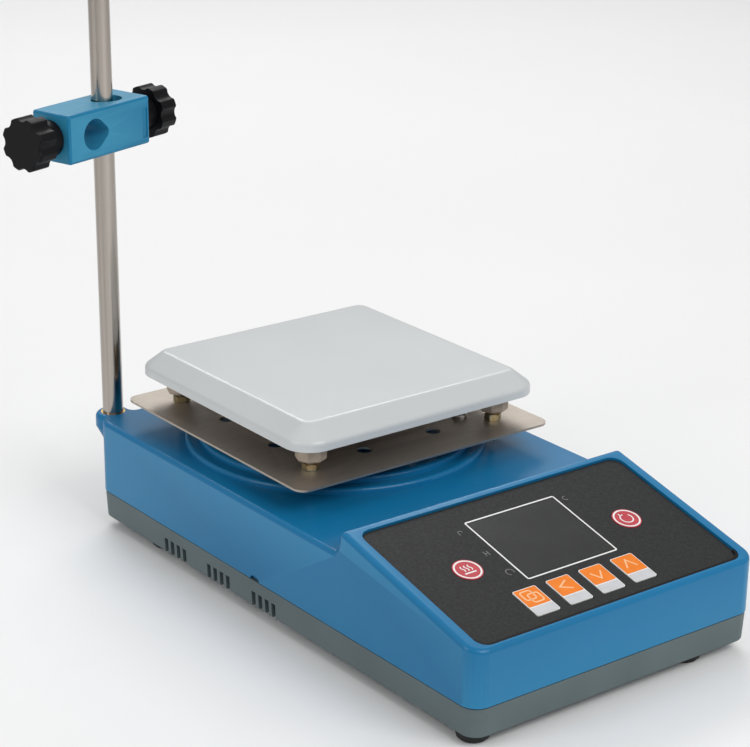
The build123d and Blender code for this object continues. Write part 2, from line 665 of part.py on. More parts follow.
with BuildPart() as motor_end_cap:
    with BuildSketch(level(MOTOR_BOTTOM_Z)):
        Circle(MOTOR_RADIUS)
        Circle(5, mode=Mode.SUBTRACT)
    extrude(amount=2)
save(motor_end_cap, "motor_end_cap")

with BuildPart() as motor_stator:
    with BuildSketch(level(MOTOR_BOTTOM_Z + 5)):
        Circle(MOTOR_RADIUS - MOTOR_WALL)
        Circle(20, mode=Mode.SUBTRACT)
        with PolarLocations(16.5, 6):
            Rectangle(9, 5)
        Circle(11.5, mode=Mode.SUBTRACT)
    extrude(amount=12)
save(motor_stator, "motor_stator")

with BuildPart() as stator_windings:
    with BuildSketch(level(MOTOR_BOTTOM_Z + 4)):
        with PolarLocations(16.3, 6):
            Rectangle(6, 9)
            Rectangle(7, 5, mode=Mode.SUBTRACT)
    extrude(amount=14)
save(stator_windings, "stator_windings")

with BuildPart() as motor_bearings:
    for z in (MOTOR_BOTTOM_Z, BRACKET_Z - 2):
        with BuildSketch(level(z)):
            Circle(5)
            Circle(SHAFT_RADIUS + RUNNING_FIT, mode=Mode.SUBTRACT)
        extrude(amount=2)
save(motor_bearings, "motor_bearings")

with BuildPart() as motor_shaft:
    with Locations((0, 0, MOTOR_BOTTOM_Z - 1)):
        Cylinder(SHAFT_RADIUS, CARRIER_BOTTOM_Z + 6 - MOTOR_BOTTOM_Z, align=(Align.CENTER, Align.CENTER, Align.MIN))
    chamfer(motor_shaft.edges().filter_by(GeomType.CIRCLE), 0.4)
save(motor_shaft, "motor_shaft")

with BuildPart() as motor_rotor:
    with BuildSketch(level(MOTOR_BOTTOM_Z + 5)):
        Circle(11)
        Circle(SHAFT_RADIUS, mode=Mode.SUBTRACT)
    extrude(amount=12)
save(motor_rotor, "motor_rotor")

with BuildPart() as magnet_carrier:
    with BuildSketch(level(CARRIER_BOTTOM_Z)):
        SlotOverall(CARRIER_LENGTH, CARRIER_WIDTH)
    extrude(amount=CARRIER_THICKNESS)
    with BuildSketch(level(CARRIER_BOTTOM_Z - 7)):
        Circle(8)
    extrude(amount=7)
    with BuildSketch(level(CARRIER_BOTTOM_Z + CARRIER_THICKNESS)):
        with Locations((-MAGNET_PLACE, 0), (MAGNET_PLACE, 0)):
            Circle(MAGNET_RADIUS)
    extrude(amount=-MAGNET_HEIGHT, mode=Mode.SUBTRACT)
    with Locations((0, 0, CARRIER_BOTTOM_Z)):
        Cylinder(SHAFT_RADIUS, 40, mode=Mode.SUBTRACT)
save(magnet_carrier, "magnet_carrier")

with BuildPart() as drive_magnets:
    with Locations(*[(x, 0, CARRIER_BOTTOM_Z + CARRIER_THICKNESS) for x in (-MAGNET_PLACE, MAGNET_PLACE)]):
        Cylinder(MAGNET_RADIUS, MAGNET_HEIGHT, align=(Align.CENTER, Align.CENTER, Align.MAX))
    chamfer(drive_magnets.edges().group_by(Axis.Z)[-1], 0.5)
save(drive_magnets, "drive_magnets")

# ---------------------------------------------------------------- power electronics
with BuildPart() as power_board:
    with BuildSketch(level(POWER_BOARD_Z)):
        with Locations((0, 59)):
            RectangleRounded(118, 42, 2)
        with Locations(*POWER_POSTS):
            Circle(1.4, mode=Mode.SUBTRACT)
    extrude(amount=BOARD_THICKNESS)
save(power_board, "power_board")

POWER_TOP_Z = POWER_BOARD_Z + BOARD_THICKNESS
board_plane = PANEL.offset(BOARD_TOP - BOARD_THICKNESS)
with BuildPart() as board_screws:
    board_screw = pan_screw(2.4, 1.6, 1.15, 6)
    with Locations(*[board_plane.location * Location((x, y, 0), (180, 0, 0)) for x, y in BOARD_POSTS]):
        add(board_screw)
    with Locations(*[(x, y, POWER_TOP_Z) for x, y in POWER_POSTS]):
        add(board_screw)
save(board_screws, "board_screws")

with BuildPart() as power_transformer:
    with Locations((36, 52, POWER_TOP_Z)):
        Box(26, 20, 18, align=(Align.CENTER, Align.CENTER, Align.MIN))
        Box(16, 26, 12, align=(Align.CENTER, Align.CENTER, Align.MIN))
    fillet(power_transformer.edges().filter_by(Axis.Z), 1)
save(power_transformer, "power_transformer")

with BuildPart() as heater_relay:
    with Locations((-36, 50, POWER_TOP_Z)):
        Box(20, 15, 16, align=(Align.CENTER, Align.CENTER, Align.MIN))
    fillet(heater_relay.edges().filter_by(Axis.Z), 1)
save(heater_relay, "heater_relay")

with BuildPart() as smoothing_capacitors:
    for x in (-14, 0):
        with Locations((x, 66, POWER_TOP_Z)):
            Cylinder(5, 14, align=(Align.CENTER, Align.CENTER, Align.MIN))
    fillet(smoothing_capacitors.edges().group_by(Axis.Z)[-1], 0.8)
save(smoothing_capacitors, "smoothing_capacitors")

# Sleeved lead from the heater, down through the shield and boss to the power board.
LEAD_TOP_Z = PLATE_BOTTOM_Z - 7
with BuildPart() as heater_lead:
    with Locations((*LEAD_PLACE, POWER_TOP_Z)):
        Cylinder(LEAD_RADIUS, LEAD_TOP_Z - POWER_TOP_Z, align=(Align.CENTER, Align.CENTER, Align.MIN))
save(heater_lead, "heater_lead")

with BuildPart() as lead_grommet:
    with BuildSketch(level(BOSS_TOP_Z - WALL - 1.2)):
        with Locations(LEAD_PLACE):
            Circle(2 * LEAD_RADIUS + 1.6)
    extrude(amount=1.2)
    with BuildSketch(level(BOSS_TOP_Z)):
        with Locations(LEAD_PLACE):
            Circle(2 * LEAD_RADIUS + 1.6)
    extrude(amount=1.2)
    with BuildSketch(level(BOSS_TOP_Z - WALL)):
        with Locations(LEAD_PLACE):
            Circle(2 * LEAD_RADIUS)
    extrude(amount=WALL)
    with Locations((*LEAD_PLACE, BOSS_TOP_Z)):
        Cylinder(LEAD_RADIUS, 20, mode=Mode.SUBTRACT)
save(lead_grommet, "lead_grommet")

# ---------------------------------------------------------------- rear connections
INLET = REAR.shift_origin((INLET_PLACE[0], BODY_REAR, INLET_PLACE[1]))
SWITCH = REAR.shift_origin((SWITCH_PLACE[0], BODY_REAR, SWITCH_PLACE[1]))
FUSE = REAR.shift_origin((FUSE_PLACE[0], BODY_REAR, FUSE_PLACE[1]))
SOCKET = (24.6, 17.0)
SOCKET_DEPTH = 16.0
FLANGE = 2.2
PIN_SIZE = (2.0, 4.0)
PIN_PLACES = ((-7.0, -1.0), (7.0, -1.0), (0.0, 3.0))

with BuildPart() as mains_inlet:
    with BuildSketch(INLET):
        RectangleRounded(49.5, 22.6, 4)
    extrude(amount=FLANGE)
    with BuildSketch(INLET.offset(-SOCKET_DEPTH - 1)):
        Rectangle(INLET_CUT[0] - 0.4, INLET_CUT[1] - 0.4)
    extrude(amount=SOCKET_DEPTH + 1)
    with BuildSketch(INLET.offset(FLANGE)) as mouth:
        Rectangle(*SOCKET)
        chamfer(mouth.vertices().group_by(Axis.Y)[-1], 4)
    extrude(amount=-SOCKET_DEPTH, mode=Mode.SUBTRACT)
    with BuildSketch(INLET.offset(FLANGE)):
        with Locations((-INLET_SCREWS / 2, 0), (INLET_SCREWS / 2, 0)):
            Circle(1.6)
    extrude(amount=-2 * FLANGE, mode=Mode.SUBTRACT)
    with BuildSketch(INLET.offset(-SOCKET_DEPTH - 1)):
        with Locations(*PIN_PLACES):
            Rectangle(*PIN_SIZE)
    extrude(amount=SOCKET_DEPTH, mode=Mode.SUBTRACT)
save(mains_inlet, "mains_inlet")

with BuildPart() as inlet_pins:
    with BuildSketch(INLET.offset(FLANGE - SOCKET_DEPTH - 6)):
        with Locations(*PIN_PLACES):
            Rectangle(*PIN_SIZE)
    extrude(amount=SOCKET_DEPTH + 1)
save(inlet_pins, "inlet_pins")

with BuildPart() as inlet_screws:
    places = [INLET.offset(FLANGE).location * Location((x, 0, 0)) for x in (-INLET_SCREWS / 2, INLET_SCREWS / 2)]
    with Locations(*places):
        add(pan_screw(2.8, 1.8, 1.5, 8))
save(inlet_screws, "inlet_screws")

ROCKER_AXIS_DEPTH = -2.0
PIVOT_RADIUS = 1.4
PIVOT_LENGTH = SWITCH_CUT[0] - 2.6 + 1.4
ROCKER_AXIS = Plane(
    origin=(SWITCH_PLACE[0], BODY_REAR + ROCKER_AXIS_DEPTH, SWITCH_PLACE[1]), x_dir=(0, 1, 0), z_dir=(1, 0, 0)
)
with BuildPart() as power_switch_frame:
    with BuildSketch(SWITCH):
        RectangleRounded(SWITCH_CUT[0] + 2.4, SWITCH_CUT[1] + 2.4, 1)
    extrude(amount=1.6)
    with BuildSketch(SWITCH.offset(-14)):
        Rectangle(SWITCH_CUT[0] - 0.3, SWITCH_CUT[1] - 0.3)
    extrude(amount=14)
    with BuildSketch(SWITCH.offset(1.6)):
        Rectangle(SWITCH_CUT[0] - 2.6, SWITCH_CUT[1] - 2.6)
    extrude(amount=-9.6, mode=Mode.SUBTRACT)
    with Locations(ROCKER_AXIS):
        Cylinder(PIVOT_RADIUS + RUNNING_FIT, PIVOT_LENGTH + 0.2, mode=Mode.SUBTRACT)
save(power_switch_frame, "power_switch_frame")

ROCKER_TILT = 9.0
ROCKER_CREST = 4.2
ROCKER_RADIUS = 7.4
with BuildPart() as power_rocker:
    rocker_plane = Plane(
        origin=(SWITCH_PLACE[0] - (SWITCH_CUT[0] - 3.0) / 2, BODY_REAR + ROCKER_AXIS_DEPTH, SWITCH_PLACE[1]),
        x_dir=(0, cos(radians(ROCKER_TILT)), sin(radians(ROCKER_TILT))),
        z_dir=(1, 0, 0),
    )
    with BuildSketch(rocker_plane):
        with BuildLine():
            Polyline(
                (ROCKER_CREST, ROCKER_RADIUS),
                (-1.6, ROCKER_RADIUS - 1.2),
                (-4.2, 0),
                (-1.6, 1.2 - ROCKER_RADIUS),
                (ROCKER_CREST, -ROCKER_RADIUS),
            )
            ThreePointArc(
                (ROCKER_CREST, -ROCKER_RADIUS), (ROCKER_CREST - 1.4, 0), (ROCKER_CREST, ROCKER_RADIUS)
            )
        make_face()
    extrude(amount=SWITCH_CUT[0] - 3.0)
    with Locations(ROCKER_AXIS):
        Cylinder(PIVOT_RADIUS, PIVOT_LENGTH)
save(power_rocker, "power_rocker")

with BuildPart() as fuse_holder:
    with BuildSketch(FUSE.offset(-18)):
        Circle(FUSE_RADIUS - 0.2)
    extrude(amount=18)
    with BuildSketch(FUSE):
        Circle(8.4)
    extrude(amount=1.6)
    with BuildSketch(FUSE.offset(1.6)):
        Circle(4.6)
    extrude(amount=-15, mode=Mode.SUBTRACT)
save(fuse_holder, "fuse_holder")

with BuildPart() as fuse_cap:
    with BuildSketch(FUSE.offset(1.8)):
        Circle(6.8)
    extrude(amount=5)
    chamfer(fuse_cap.edges().sort_by(Axis.Y)[-1], 0.8)
    with BuildSketch(FUSE.offset(-6)):
        Circle(4.3)
    extrude(amount=8)
    with BuildSketch(FUSE.offset(6.8)):
        Rectangle(9, 1.4)
    extrude(amount=-1.6, mode=Mode.SUBTRACT)
save(fuse_cap, "fuse_cap")

# ---------------------------------------------------------------- support rod
with BuildPart() as rod_insert:
    with BuildSketch(level(DECK_Z - INSERT_DEPTH)):
        with Locations(ROD_PLACE):
            Circle(INSERT_RADIUS)
            Circle(SPIGOT_RADIUS + RUNNING_FIT, mode=Mode.SUBTRACT)
    extrude(amount=INSERT_DEPTH)
save(rod_insert, "rod_insert")

with BuildPart() as support_rod:
    with BuildSketch(level(DECK_Z + ROD_SEAT_GAP)):
        with Locations(ROD_PLACE):
            Circle(ROD_RADIUS)
    extrude(amount=ROD_LENGTH)
    chamfer(support_rod.edges().sort_by(Axis.Z)[-1], 1)
    with BuildSketch(level(DECK_Z + ROD_SEAT_GAP - SPIGOT_LENGTH)):
        with Locations(ROD_PLACE):
            Circle(SPIGOT_RADIUS)
    extrude(amount=SPIGOT_LENGTH)
save(support_rod, "support_rod")

# ---------------------------------------------------------------- boss-head clamp
HALF_LENGTH, HALF_DEPTH, HALF_HEIGHT = (side / 2 for side in CLAMP_SIZE)
MARK_SIZE = (3.4, 14.0)
MARK_PLACE = (HALF_LENGTH - 3.6, -1.0)


def keyed_slot(large_x, small_x):
    """Outline of a slot that narrows towards the side the rod is pressed against."""
    with BuildSketch() as slot:
        with Locations((large_x, 0)):
            Circle(SLOT_LARGE)
        with Locations((small_x, 0)):
            Circle(SLOT_SMALL)
        make_hull()
    return slot.sketch


CLAMP_FRONT = Plane(origin=CLAMP.origin - CLAMP.y_dir * HALF_DEPTH, x_dir=CLAMP.x_dir, z_dir=-CLAMP.y_dir)
rod_slot_x = ROD_IN_CLAMP + ROD_SEAT
with BuildPart() as clamp_block:
    with BuildSketch(CLAMP.offset(-HALF_HEIGHT)):
        Rectangle(CLAMP_SIZE[0], CLAMP_SIZE[1])
    extrude(amount=CLAMP_SIZE[2])
    fillet(clamp_block.edges(), 1.4)
    with BuildSketch(CLAMP.offset(-HALF_HEIGHT)):
        add(keyed_slot(rod_slot_x, rod_slot_x - SLOT_REACH))
    extrude(amount=CLAMP_SIZE[2], mode=Mode.SUBTRACT)
    with BuildSketch(CLAMP_FRONT):
        add(keyed_slot(CROSS_HOLE_U, CROSS_HOLE_U + SLOT_REACH))
    extrude(amount=-CLAMP_SIZE[1], mode=Mode.SUBTRACT)
    for side in (-1, 1):
        with Locations(Plane(origin=CLAMP.origin + CLAMP_X * side * HALF_LENGTH, z_dir=CLAMP_X * side)):
            Cylinder(STUD_RADIUS + RUNNING_FIT, 2 * (HALF_LENGTH + CROSS_HOLE_U), mode=Mode.SUBTRACT)
    with BuildSketch(CLAMP_FRONT):
        with Locations(MARK_PLACE):
            Rectangle(*MARK_SIZE)
    extrude(amount=-0.4, mode=Mode.SUBTRACT)
save(clamp_block, "clamp_block")

HUB_GAP = 0.6
SCALLOP_RADIUS = 3.8
SCALLOP_DEPTH = 1.6
HUB_START = HALF_LENGTH + HUB_GAP
HEAD_START = HUB_START + HUB_LENGTH
STUD_TIPS = {"left": 13.8, "right": ROD_IN_CLAMP + ROD_RADIUS + 0.1}
for side, sign in (("left", -1), ("right", 1)):
    axis = Plane(origin=CLAMP.origin, x_dir=(0, 0, 1), z_dir=CLAMP_X * sign)
    tip = STUD_TIPS[side]
    stud_end = HEAD_START + KNOB_THICKNESS - 3
    with BuildPart() as stud:
        with BuildSketch(axis.offset(tip)):
            Circle(STUD_RADIUS)
        extrude(amount=stud_end - tip)
        chamfer(stud.edges().filter_by(GeomType.CIRCLE), 0.6)
    save(stud, f"clamp_stud_{side}")
    with BuildPart() as knob:
        with BuildSketch(axis.offset(HUB_START)):
            Circle(HUB_RADIUS)
        extrude(amount=HUB_LENGTH)
        with BuildSketch(axis.offset(HEAD_START)) as head:
            Circle(KNOB_RADIUS)
            with PolarLocations(KNOB_RADIUS + SCALLOP_RADIUS - SCALLOP_DEPTH, KNOB_LOBES):
                Circle(SCALLOP_RADIUS, mode=Mode.SUBTRACT)
            fillet(head.vertices(), 1.3)
        extrude(amount=KNOB_THICKNESS)
        fillet(knob.faces().sort_by_distance(axis.offset(HEAD_START + KNOB_THICKNESS).origin)[0].edges(), 0.9)
        with BuildSketch(axis.offset(HUB_START)):
            Circle(STUD_RADIUS + RUNNING_FIT)
        extrude(amount=stud_end - HUB_START + 0.3, mode=Mode.SUBTRACT)
    save(knob, f"clamp_knob_{side}")
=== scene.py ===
import json
import math

import bmesh
import bpy
from mathutils import Matrix, Vector


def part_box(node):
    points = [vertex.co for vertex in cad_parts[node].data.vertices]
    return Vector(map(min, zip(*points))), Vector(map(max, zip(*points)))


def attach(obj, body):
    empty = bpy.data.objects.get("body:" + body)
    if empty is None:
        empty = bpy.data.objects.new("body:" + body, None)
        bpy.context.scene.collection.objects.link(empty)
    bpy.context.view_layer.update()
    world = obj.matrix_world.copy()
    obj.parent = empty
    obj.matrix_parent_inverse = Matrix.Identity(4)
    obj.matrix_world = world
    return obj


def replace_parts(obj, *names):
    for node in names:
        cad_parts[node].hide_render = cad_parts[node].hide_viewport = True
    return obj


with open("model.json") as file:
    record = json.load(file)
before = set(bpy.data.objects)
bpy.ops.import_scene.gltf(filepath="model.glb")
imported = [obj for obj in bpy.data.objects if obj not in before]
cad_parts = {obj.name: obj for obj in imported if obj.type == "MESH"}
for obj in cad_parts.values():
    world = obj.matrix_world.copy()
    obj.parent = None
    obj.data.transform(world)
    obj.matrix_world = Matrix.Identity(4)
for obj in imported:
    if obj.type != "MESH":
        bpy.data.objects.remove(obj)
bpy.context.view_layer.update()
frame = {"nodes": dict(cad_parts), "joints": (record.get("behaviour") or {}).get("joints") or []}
NODES = frame["nodes"]
MM = 0.001

# Noise is nearly all between these two values, and spread() stretches them to the whole range.
NOISE_RANGE = (0.3, 0.7)
SPECK_LEVEL = 0.66
SPECK_EDGE = 0.04
# Pointiness is 0.5 on a flat face, and rises along a sharp edge, where the colour is lightened: a painted
# edge highlight, on the steel shield also rubbed bare metal.
HIGHLIGHT_AND_WEAR_RANGE = (0.53, 0.62)
HIGHLIGHT_AND_WEAR_MOST = 0.55


# ---------------------------------------------------------------- materials
def material(
    name,
    color,
    rough,
    metal=0.0,
    coat=0.0,
    coat_rough=0.06,
    mottle=0.08,
    mottle_scale=35.0,
    rough_var=0.06,
    rough_scale=70.0,
    bump=0.2,
    bump_scale=900.0,
    bump_depth=0.00004,
    stretch=(1.0, 1.0, 1.0),
    edge_highlight_and_wear=None,
    speck=None,
    aniso=0.0,
    specular=0.5,
):
    """Procedural finish: mottled colour, uneven gloss and fine relief, with edges lightened as a painted
    highlight and specks, if asked.

    Scales are noise cells per metre, bump_depth is in metres, and the _var values go either side.
    """
    mat = bpy.data.materials.new(name)
    mat.use_nodes = True
    tree = mat.node_tree
    shader = tree.nodes["Principled BSDF"]
    link = tree.links.new
    shader.inputs["Metallic"].default_value = metal
    shader.inputs["Coat Weight"].default_value = coat
    shader.inputs["Coat Roughness"].default_value = coat_rough
    shader.inputs["Anisotropic"].default_value = aniso
    shader.inputs["Specular IOR Level"].default_value = specular
    where = tree.nodes.new("ShaderNodeTexCoord")
    mapping = tree.nodes.new("ShaderNodeMapping")
    mapping.inputs["Scale"].default_value = stretch
    link(where.outputs["Object"], mapping.inputs["Vector"])

    def noise(scale, detail=4.0):
        node = tree.nodes.new("ShaderNodeTexNoise")
        node.inputs["Scale"].default_value = scale
        node.inputs["Detail"].default_value = detail
        link(mapping.outputs["Vector"], node.inputs["Vector"])
        return node.outputs["Fac"]

    def mix(factor, first, second):
        node = tree.nodes.new("ShaderNodeMix")
        node.data_type = "RGBA"
        link(factor, node.inputs["Factor"])
        for value, socket in ((first, node.inputs["A"]), (second, node.inputs["B"])):
            if isinstance(value, tuple):
                socket.default_value = (*value, 1.0)
            else:
                link(value, socket)
        return node.outputs["Result"]

    def spread(value, low, high, to_low, to_high):
        node = tree.nodes.new("ShaderNodeMapRange")
        limits = {"From Min": low, "From Max": high, "To Min": to_low, "To Max": to_high}
        for socket, number in limits.items():
            node.inputs[socket].default_value = number
        link(value, node.inputs["Value"])
        return node.outputs["Result"]

    dark = tuple(c * (1 - mottle) for c in color)
    light = tuple(min(1.0, c * (1 + mottle)) for c in color)
    base = mix(spread(noise(mottle_scale), *NOISE_RANGE, 0, 1), dark, light)
    if speck:
        speck_color, speck_scale, amount = speck
        start = SPECK_LEVEL - amount
        base = mix(spread(noise(speck_scale, 2.0), start, start + SPECK_EDGE, 0, 1), base, speck_color)
    # Lighten the colour along sharp edges: a painted edge highlight.
    if edge_highlight_and_wear:
        geometry = tree.nodes.new("ShaderNodeNewGeometry")
        edge = spread(geometry.outputs["Pointiness"], *HIGHLIGHT_AND_WEAR_RANGE, 0, HIGHLIGHT_AND_WEAR_MOST)
        base = mix(edge, base, edge_highlight_and_wear)
    link(base, shader.inputs["Base Color"])
    low, high = max(0.02, rough - rough_var), min(1.0, rough + rough_var)
    link(spread(noise(rough_scale), *NOISE_RANGE, low, high), shader.inputs["Roughness"])
    relief = tree.nodes.new("ShaderNodeBump")
    relief.inputs["Strength"].default_value = bump
    relief.inputs["Distance"].default_value = bump_depth
    link(noise(bump_scale, 3.0), relief.inputs["Height"])
    link(relief.outputs["Normal"], shader.inputs["Normal"])
    return mat


# The lighter blue along the housing's edges is a painted highlight.
PAINT = material(
    "blue_enamel", (0.006, 0.160, 0.350), 0.36, coat=0.14, coat_rough=0.06, specular=0.22, mottle=0.05,
    mottle_scale=9, rough_var=0.04, rough_scale=40, bump=0.12, bump_scale=330, bump_depth=0.00003,
    edge_highlight_and_wear=(0.04, 0.28, 0.50),
)
# The lighter grey along the pan's edges is a painted highlight.
PAN = material(
    "grey_enamel", (0.105, 0.140, 0.146), 0.5, specular=0.35, mottle=0.09, bump=0.35, bump_scale=1500,
    edge_highlight_and_wear=(0.14, 0.17, 0.18),
)
RUBBER = material("black_rubber", (0.010, 0.010, 0.010), 0.75, mottle=0.3, bump=0.5, bump_scale=1600)
# The paler white along the plate's edges is a painted highlight.
PLATE = material(
    "white_plate_coat", (0.56, 0.585, 0.59), 0.32, coat=0.2, coat_rough=0.10, mottle=0.02,
    mottle_scale=12, rough_var=0.02, rough_scale=25, bump=0.25, bump_scale=1100, bump_depth=0.00003,
    edge_highlight_and_wear=(0.585, 0.61, 0.615),
)
# The lighter steel along the shield's edges is partly rubbed bare metal and partly a painted highlight.
SHIELD = material(
    "rolled_steel", (0.235, 0.215, 0.195), 0.42, metal=0.85, mottle=0.10, mottle_scale=9,
    rough_scale=30, bump=0.3, bump_scale=160, stretch=(1.0, 14.0, 1.0), edge_highlight_and_wear=(0.62, 0.54, 0.46),
    aniso=0.3,
)
STEEL = material(
    "bright_steel", (0.60, 0.60, 0.59), 0.24, metal=1.0, mottle=0.10, mottle_scale=150, bump_scale=2600,
)
ROD = material(
    "drawn_stainless", (0.41, 0.37, 0.335), 0.19, metal=1.0, mottle=0.16, mottle_scale=420,
    rough_var=0.07, rough_scale=300, bump=0.4, bump_scale=900, stretch=(1.0, 1.0, 0.012), aniso=0.4,
)
ZINC = material(
    "yellow_zinc", (0.58, 0.47, 0.27), 0.26, metal=1.0, mottle=0.25, mottle_scale=260,
    speck=((0.42, 0.45, 0.34), 300.0, 0.14),
)
CERAMIC = material(
    "unglazed_ceramic", (0.47, 0.39, 0.31), 0.6, mottle=0.10, mottle_scale=300, bump=0.5,
    bump_scale=1900,
)
INSULATION = material(
    "heater_fibre", (0.40, 0.35, 0.26), 0.85, mottle=0.2, mottle_scale=200, bump=0.8, bump_scale=1500,
)
OVERLAY = material(
    "panel_film", (0.021, 0.0215, 0.022), 0.52, specular=0.16, mottle=0.3, mottle_scale=900, bump=0.7,
    bump_scale=1300, rough_var=0.05, rough_scale=500,
)
SCREEN = material(
    "smoked_window", (0.020, 0.0205, 0.021), 0.42, specular=0.2, coat=0.03, coat_rough=0.2, mottle=0.12,
    mottle_scale=700, bump=0.1,
)
ORANGE = material(
    "orange_print", (0.82, 0.20, 0.005), 0.5, specular=0.3, mottle=0.06, mottle_scale=220, bump=0.3,
    bump_scale=2600,
)
STRIP = material(
    "grey_print", (0.55, 0.56, 0.58), 0.5, mottle=0.05, mottle_scale=240, bump=0.3, bump_scale=2600,
)
WHITE = material(
    "white_print", (0.78, 0.78, 0.77), 0.5, mottle=0.05, mottle_scale=300, bump=0.2, bump_scale=2600,
)
FAINT = material(
    "faint_print", (0.14, 0.14, 0.14), 0.5, mottle=0.05, mottle_scale=300, bump=0.2, bump_scale=2600,
)
PALE_ORANGE = material(
    "pale_orange_print", (0.88, 0.50, 0.26), 0.5, mottle=0.05, mottle_scale=300, bump=0.2,
    bump_scale=2600,
)
RED = material(
    "red_key", (0.48, 0.030, 0.045), 0.45, mottle=0.10, mottle_scale=200, bump=0.3, bump_scale=2400,
)
# The lighter blue along the clamp's edges is a painted highlight.
CLAMP = material(
    "teal_enamel", (0.008, 0.185, 0.350), 0.42, specular=0.25, coat=0.1, coat_rough=0.2, mottle=0.07,
    mottle_scale=60, bump=0.4, bump_scale=500, bump_depth=0.00008, edge_highlight_and_wear=(0.06, 0.34, 0.52),
)
BLACK = material(
    "black_moulding", (0.004, 0.004, 0.005), 0.45, specular=0.16, mottle=0.2, bump=0.5, bump_scale=1300,
)
BRASS = material(
    "turned_brass", (0.70, 0.48, 0.20), 0.28, metal=1.0, mottle=0.1, mottle_scale=300, bump_scale=2500,
)
COPPER = material(
    "copper_wire", (0.62, 0.26, 0.12), 0.35, metal=1.0, mottle=0.15, mottle_scale=500, bump=0.6,
    bump_scale=1800,
)
BOARD = material(
    "solder_mask", (0.012, 0.13, 0.05), 0.32, coat=0.3, mottle=0.25, mottle_scale=160, bump=0.5,
    bump_scale=1000,
)
IRON = material(
    "laminated_iron", (0.11, 0.11, 0.12), 0.5, metal=0.7, mottle=0.2, bump=0.6, bump_scale=900,
    stretch=(1, 1, 8),
)
MOTOR = material("motor_enamel", (0.03, 0.03, 0.033), 0.4, coat=0.2, mottle=0.15)
ALLOY = material(
    "machined_alloy", (0.68, 0.69, 0.70), 0.3, metal=1.0, mottle=0.08, bump=0.4, bump_scale=700,
    stretch=(1, 8, 1),
)
NICKEL = material("nickel_plate", (0.68, 0.66, 0.62), 0.12, metal=1.0, mottle=0.04)
SLEEVE = material(
    "woven_sleeve", (0.60, 0.56, 0.47), 0.8, mottle=0.25, mottle_scale=700, bump=0.9, bump_scale=1500,
    stretch=(1, 1, 3),
)

FINISH = {
    PAINT: "upper_housing",
    PAN: "base_pan",
    RUBBER: "rubber_feet lead_grommet",
    PLATE: "hot_plate",
    SHIELD: "heat_shield heater_cover motor_bracket",
    STEEL: "base_screws board_screws bracket_bolts bracket_spacers inlet_screws motor_screws motor_shaft"
    " temperature_probe plate_studs clamp_stud_left clamp_stud_right shield_screws",
    ROD: "support_rod",
    ZINC: "hex_nuts",
    CERAMIC: "ceramic_standoffs lead_terminal",
    INSULATION: "heating_element heater_insulation",
    OVERLAY: "panel_overlay",
    SCREEN: "display_window",
    WHITE: "key_select key_left key_down key_up",
    RED: "button_heat button_stir",
    CLAMP: "clamp_block",
    BLACK: "clamp_knob_left clamp_knob_right mains_inlet power_switch_frame power_rocker"
    " fuse_holder fuse_cap tact_switches display_module heater_relay",
    BRASS: "rod_insert inlet_pins motor_bearings",
    COPPER: "stator_windings",
    BOARD: "control_board power_board",
    IRON: "power_transformer motor_stator motor_rotor",
    MOTOR: "motor_can motor_end_cap",
    ALLOY: "magnet_carrier smoothing_capacitors",
    NICKEL: "drive_magnets",
    SLEEVE: "heater_lead",
}
for finish, names in FINISH.items():
    for name in names.split():
        mesh = NODES[name].data
        mesh.materials.clear()
        mesh.materials.append(finish)


# ---------------------------------------------------------------- building pieces
SMOOTH_BELOW = math.radians(35)
BEVEL_ABOVE = math.radians(40)


def piece(name, bm, mat, body, bevel=0.0):
    """Turn a bmesh into a named piece that rides on a body."""
    bmesh.ops.recalc_face_normals(bm, faces=bm.faces)
    mesh = bpy.data.meshes.new(name)
    bm.to_mesh(mesh)
    bm.free()
    obj = bpy.data.objects.new(name, mesh)
    bpy.context.scene.collection.objects.link(obj)
    mesh.materials.append(mat)
    if bevel:
        modifier = obj.modifiers.new("bevel", "BEVEL")
        modifier.width = bevel
        modifier.segments = 2
        modifier.limit_method = "ANGLE"
        modifier.angle_limit = BEVEL_ABOVE
    for face in mesh.polygons:
        face.use_smooth = True
    mesh.set_sharp_from_angle(angle=SMOOTH_BELOW)
    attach(obj, body)
    return obj


def joint_axis(name):
    """Direction of a joint in the shared frame."""
    return Vector(next(joint["axis"] for joint in frame["joints"] if joint["name"] == name))


# Places on the sloped panel are in millimetres: across, up the slope, and out from the rim round it.
# The keys press straight into the panel, so their joint gives its direction.
PANEL_SIZE = (148.4, 85.6)
PANEL_RADIUS = 6.0
OVERLAY_THICKNESS = 1.2
OVERLAY_TOP = -1.0
NORMAL = -joint_axis("key_left_press")
PANEL_X = Vector((1, 0, 0))
PANEL_Y = NORMAL.cross(PANEL_X)
overlay_low, overlay_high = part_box("panel_overlay")
PANEL_ORIGIN = (overlay_low + overlay_high) / 2 + NORMAL * (OVERLAY_THICKNESS / 2 - OVERLAY_TOP) * MM


def on_panel(u, v, w):
    """Point on the panel in the shared frame."""
    return PANEL_ORIGIN + (PANEL_X * u + PANEL_Y * v + NORMAL * w) * MM


def join_rings(bm, one, two):
    """Band of faces between two rings of vertices."""
    count = len(one)
    for k in range(count):
        n = (k + 1) % count
        bm.faces.new((one[k], one[n], two[n], two[k]))


